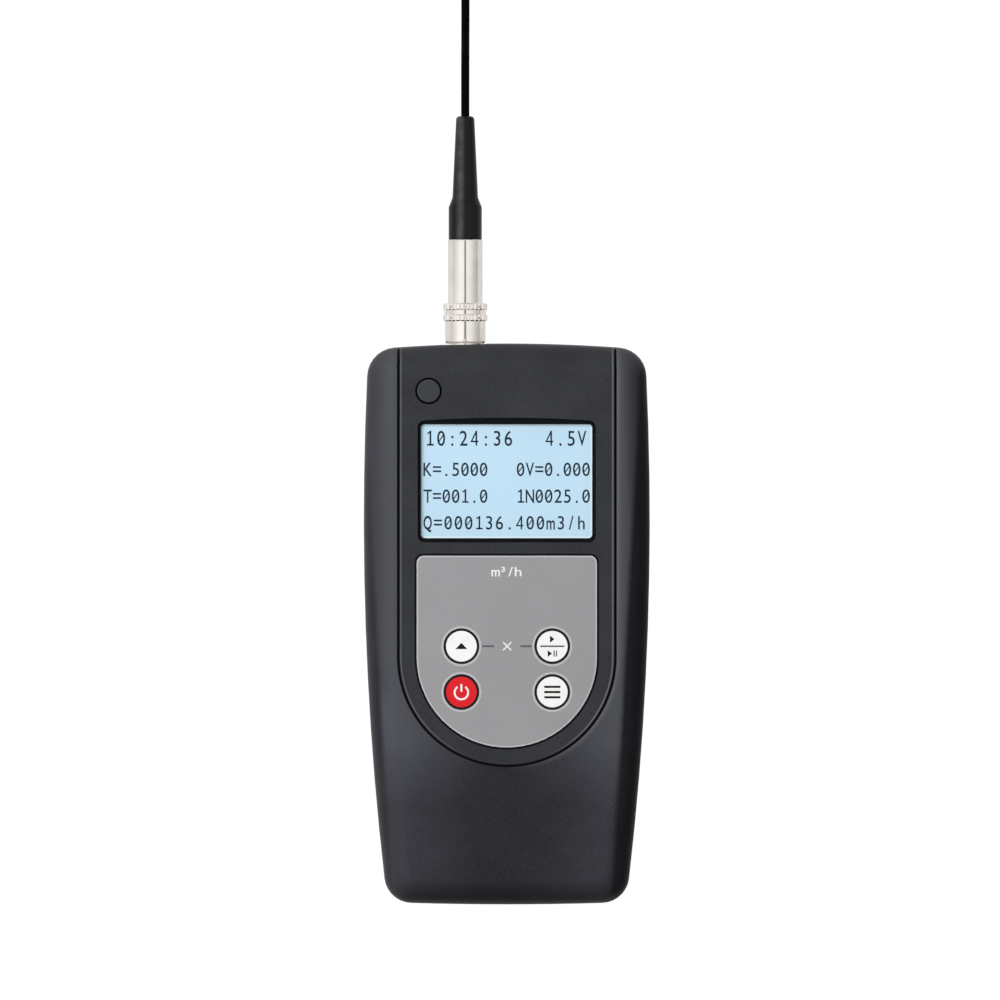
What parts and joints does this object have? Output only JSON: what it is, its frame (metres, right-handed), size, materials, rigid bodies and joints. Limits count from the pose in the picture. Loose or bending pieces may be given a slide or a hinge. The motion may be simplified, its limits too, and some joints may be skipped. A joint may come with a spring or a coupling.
{
  "type": "portable flow meter",
  "caption": "Hand-held flow meter with a display, keypad and battery bay, and a sensor lead on push-pull round plugs, coiled beside it.",
  "frame": {"origin": "on the back face, under the middle of the case, with the meter lying on its back", "axes": "+X to the right of the display, +Y towards the sensor socket, +Z out of the display"},
  "size_m": [0.1445, 0.3126, 0.0302],
  "materials": {
    "shell_plastic": "moulded charcoal ABS with a fine spark-eroded texture",
    "panel_plastic": "moulded charcoal ABS with a fine texture",
    "mask_black": "printed black border film",
    "window_clear": "clear acrylic window",
    "display_glass": "backlit pale blue liquid crystal display",
    "backlight_white": "white light guide",
    "frame_tin": "tin-plated display frame",
    "board_green": "solder mask on glass-fibre board",
    "parts_black": "black component packages",
    "screw_steel": "zinc-plated steel",
    "circuit_film": "amber polyimide film",
    "overlay_grey": "satin grey printed overlay",
    "key_white": "white key cap with a black rim",
    "key_red": "red key cap with a black rim",
    "dome_steel": "stainless snap dome",
    "button_plastic": "moulded charcoal plastic",
    "switch_plastic": "black switch body",
    "stem_ivory": "ivory switch stem",
    "cell_wrap": "plain printed steel can",
    "spring_steel": "nickel-plated spring wire",
    "contact_nickel": "nickel-plated strip",
    "wire_sleeve": "insulated hook-up wire",
    "case_screw_steel": "blackened steel",
    "socket_nickel": "nickel-plated brass",
    "seal_rubber": "black nitrile washer",
    "insert_ivory": "moulded contact insulator",
    "pin_gold": "gold-plated brass",
    "plug_nickel": "satin nickel-plated brass",
    "boot_rubber": "black moulded rubber",
    "lead_jacket": "smooth black cable jacket"
  },
  "bodies": {
    "housing": {"rear_case": "shell_plastic", "front_case": "shell_plastic", "front_panel": "panel_plastic", "window_mask": "mask_black", "display_window": "window_clear", "display_glass": "display_glass", "display_backlight": "backlight_white", "display_frame": "frame_tin", "main_board": "board_green", "board_parts": "parts_black", "board_screws": "screw_steel", "keypad_circuit": "circuit_film", "keypad_overlay": "overlay_grey", "dome_up": "dome_steel", "dome_run": "dome_steel", "dome_power": "dome_steel", "dome_menu": "dome_steel", "button_switch": "switch_plastic", "cell_left": "cell_wrap", "cell_middle": "cell_wrap", "cell_right": "cell_wrap", "battery_springs": "spring_steel", "battery_plates": "contact_nickel", "battery_wires": "wire_sleeve", "case_screws": "case_screw_steel", "socket_shell": "socket_nickel", "socket_seal": "seal_rubber", "socket_insert": "insert_ivory", "socket_pins": "pin_gold", "socket_wires": "wire_sleeve"},
    "up_key": {"key_up": "key_white"},
    "run_key": {"key_run": "key_white"},
    "power_key": {"key_power": "key_red"},
    "menu_key": {"key_menu": "key_white"},
    "button": {"round_button": "button_plastic", "switch_stem": "stem_ivory"},
    "cover": {"battery_cover": "shell_plastic"},
    "lead": {"plug_shell": "plug_nickel", "plug_insert": "insert_ivory", "cable_boot": "boot_rubber", "cord_lead": "lead_jacket", "cord_coil": "lead_jacket", "cord_tail": "lead_jacket", "far_boot": "boot_rubber", "far_shell": "plug_nickel", "far_insert": "insert_ivory"},
    "near_sleeve": {"plug_sleeve": "plug_nickel"},
    "end_sleeve": {"far_sleeve": "plug_nickel"}
  },
  "joints": [
    {"name": "up_key_press", "type": "slide", "parent": "housing", "child": "up_key", "axis": [0, 0, -1], "range_m": [0, 0.00025], "stiffness_N_per_m": 9000, "deforming": ["dome_up"]},
    {"name": "run_key_press", "type": "slide", "parent": "housing", "child": "run_key", "axis": [0, 0, -1], "range_m": [0, 0.00025], "stiffness_N_per_m": 9000, "deforming": ["dome_run"]},
    {"name": "power_key_press", "type": "slide", "parent": "housing", "child": "power_key", "axis": [0, 0, -1], "range_m": [0, 0.00025], "stiffness_N_per_m": 9000, "deforming": ["dome_power"]},
    {"name": "menu_key_press", "type": "slide", "parent": "housing", "child": "menu_key", "axis": [0, 0, -1], "range_m": [0, 0.00025], "stiffness_N_per_m": 9000, "deforming": ["dome_menu"]},
    {"name": "button_press", "type": "slide", "parent": "housing", "child": "button", "axis": [0, 0, -1], "range_m": [0, 0.0005], "stiffness_N_per_m": 3200},
    {"name": "cover_slide", "type": "slide", "parent": "housing", "child": "cover", "axis": [0, -1, 0], "range_m": [0, 0.06]},
    {"name": "plug_pull", "type": "slide", "parent": "housing", "child": "lead", "axis": [0, 1, 0], "range_m": [0, 0.012]},
    {"name": "near_sleeve_pull", "type": "slide", "parent": "lead", "child": "near_sleeve", "axis": [0, 1, 0], "range_m": [0, 0.002], "stiffness_N_per_m": 1500},
    {"name": "end_sleeve_pull", "type": "slide", "parent": "lead", "child": "end_sleeve", "axis": [-1, 0, 0], "range_m": [0, 0.002], "stiffness_N_per_m": 1500}
  ]
}
